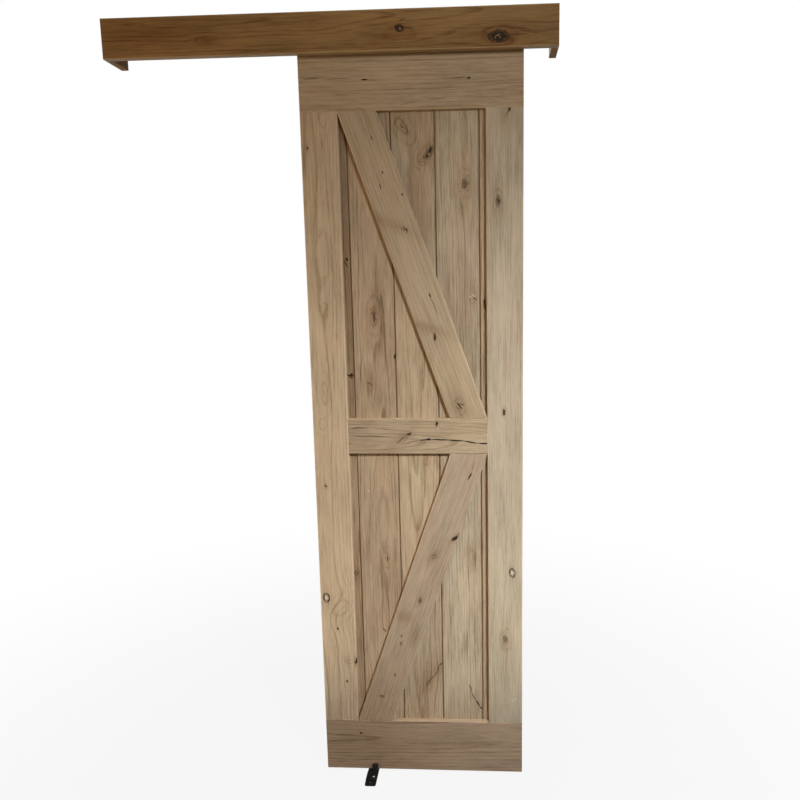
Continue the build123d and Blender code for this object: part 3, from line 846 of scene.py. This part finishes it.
# Wood screws in the hanger bases
HANGER_SCREW_OFFSET = 42.0 * MM
HANGER_BASE_HALF_DEPTH = 16.0 * MM
HANGER_BASE_THICKNESS = 4.0 * MM
for side in ("left", "right"):
    low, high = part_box(f"{side}_hanger")
    for number, step in ((1, -1), (2, 1)):
        seat = ((low[0] + high[0]) / 2 + step * HANGER_SCREW_OFFSET,
                low[1] + HANGER_BASE_HALF_DEPTH, low[2] + HANGER_BASE_THICKNESS)
        fastener(f"{side}_hanger_screw_{number}", MOVING, seat, SKY, HANGER_HEAD)

# Set screws in the stops
STOP_SCREW_RISE = 6.0 * MM
for side in ("left", "right"):
    low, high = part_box(f"{side}_stop")
    seat = ((low[0] + high[0]) / 2, low[1], low[2] + STOP_SCREW_RISE)
    fastener(f"{side}_stop_screw", FIXED, seat, ROOM, STOP_HEAD)

# Screws in the floor guide: two into the floor, one through each bracket's foot
low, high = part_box("guide_plate")
guide_x = (low[0] + high[0]) / 2
plate_top = high[2]
FLOOR_SCREW_YS = (-116.5 * MM, -48.0 * MM)
for number, y in enumerate(FLOOR_SCREW_YS):
    fastener(f"guide_floor_screw_{number + 1}", FIXED, (guide_x, y, plate_top), SKY, FLOOR_HEAD)
FOOT_THICKNESS = 3.0 * MM
FRONT_SCREW_STEP, FRONT_SCREW_Y = 6.5 * MM, -95.0 * MM
BACK_SCREW_STEP, BACK_SCREW_Y = -7.0 * MM, -15.5 * MM
foot_top = plate_top + FOOT_THICKNESS
front_seat = (guide_x + FRONT_SCREW_STEP, FRONT_SCREW_Y, foot_top)
back_seat = (guide_x + BACK_SCREW_STEP, BACK_SCREW_Y, foot_top)
fastener("guide_front_screw", FIXED, front_seat, SKY, FRONT_FOOT_HEAD, zinc)
fastener("guide_back_screw", FIXED, back_seat, SKY, BACK_FOOT_HEAD)


# Floor, light and camera
def seen(g):
    """1 for rays from the camera and for mirror and clear rays, else 0."""
    path = g.add("ShaderNodeLightPath").outputs
    both = g.math("MAXIMUM", path["Is Camera Ray"], path["Is Glossy Ray"])
    return g.math("MAXIMUM", both, path["Is Transmission Ray"])


# The floor takes a soft shade near the door and runs out to white
FLOOR_HALF = 14.0
SHADE_START, SHADE_END = 0.4, 2.6
NEAR_WHITE, FAR_WHITE = 0.90, 1.0
mesh = bpy.data.meshes.new("floor")
corners = [(FLOOR_HALF * x, FLOOR_HALF * y, FLOOR_Z) for x, y in ((-1, -1), (1, -1), (1, 1), (-1, 1))]
mesh.from_pydata(corners, [], [(0, 1, 2, 3)])
floor = bpy.data.objects.new("floor", mesh)
bpy.context.scene.collection.objects.link(floor)
material = bpy.data.materials.new("pale_floor")
material.use_nodes = True
material.node_tree.nodes.clear()
g = Graph(material.node_tree)
place = g.add("ShaderNodeTexCoord").outputs["Object"]
away = g.add("ShaderNodeVectorMath", operation="LENGTH")
g.feed(away.inputs[0], g.vector("MULTIPLY", place, (1.0, 1.0, 0.0)))
matte = g.add("ShaderNodeBsdfDiffuse")
matte.inputs["Color"].default_value = (0.25, 0.25, 0.245, 1)
white = g.add("ShaderNodeEmission")
white.inputs["Color"].default_value = (1, 1, 1, 1)
whiteness = g.span(away.outputs["Value"], SHADE_START, SHADE_END, NEAR_WHITE, FAR_WHITE)
share = g.math("MULTIPLY", seen(g), whiteness)
mix = g.add("ShaderNodeMixShader")
g.feed(mix.inputs[0], share)
g.feed(mix.inputs[1], matte.outputs[0])
g.feed(mix.inputs[2], white.outputs[0])
g.feed(g.add("ShaderNodeOutputMaterial").inputs["Surface"], mix.outputs[0])
mesh.materials.append(material)

# The camera sees a white room, and the door gets a weak warm light from all round
world = bpy.data.worlds.new("studio")
bpy.context.scene.world = world
world.use_nodes = True
world.node_tree.nodes.clear()
g = Graph(world.node_tree)
soft = g.add("ShaderNodeBackground")
soft.inputs["Color"].default_value = (1.0, 0.79, 0.55, 1)
soft.inputs["Strength"].default_value = 0.12
white = g.add("ShaderNodeBackground")
white.inputs["Color"].default_value = (1, 1, 1, 1)
mix = g.add("ShaderNodeMixShader")
g.feed(mix.inputs[0], seen(g))
g.feed(mix.inputs[1], soft.outputs[0])
g.feed(mix.inputs[2], white.outputs[0])
g.feed(g.add("ShaderNodeOutputWorld").inputs["Surface"], mix.outputs[0])


def lamp(name, place, aim, size, power, colour, spread=180.0):
    """Square soft lamp that the camera doesn't see."""
    data = bpy.data.lights.new(name, "AREA")
    data.shape = "SQUARE"
    data.size = size
    data.energy = power
    data.color = colour
    data.spread = radians(spread)
    thing = bpy.data.objects.new(name, data)
    thing.location = place
    thing.rotation_euler = (Vector(aim) - Vector(place)).to_track_quat("-Z", "Y").to_euler()
    thing.visible_camera = False
    bpy.context.scene.collection.objects.link(thing)


# Two lamps at the upper right, for the leaf and for the header, then a warm one at the left and one behind
RIGHT_PLACE = (1.35, -1.90, 0.15)
RIGHT_SIZE = 0.36
lamp("key", RIGHT_PLACE, aim=(0.42, -0.06, -1.83), size=RIGHT_SIZE, power=12.85,
     colour=(0.98, 1.0, 1.04), spread=72.5)
lamp("header_light", RIGHT_PLACE, aim=(0.28, -0.10, 0.30), size=RIGHT_SIZE, power=1.35,
     colour=(0.99, 1.0, 1.02), spread=45.5)
lamp("left_fill", (-1.95, -1.4, -0.7), aim=(0.2, -0.06, -0.9), size=1.8, power=21.0,
     colour=(1.0, 0.66, 0.36))
lamp("back_fill", (-1.2, 2.6, 0.6), aim=(0.1, 0.0, -1.1), size=1.6, power=62.0,
     colour=(1.0, 0.98, 0.95))

# Camera at the photograph's viewing angle
camera_data = bpy.data.cameras.new("camera")
camera_data.sensor_width = 36.0
camera_data.lens = 31.5
camera_data.shift_x = -0.06875
camera_data.clip_start = 0.05
camera = bpy.data.objects.new("camera", camera_data)
camera.location = (0.4317, -2.0495, -0.6973)
camera.rotation_euler = (radians(81.216), radians(0.697), radians(2.954))
bpy.context.scene.collection.objects.link(camera)
bpy.context.scene.camera = camera
bpy.context.scene.view_settings.view_transform = "Standard"
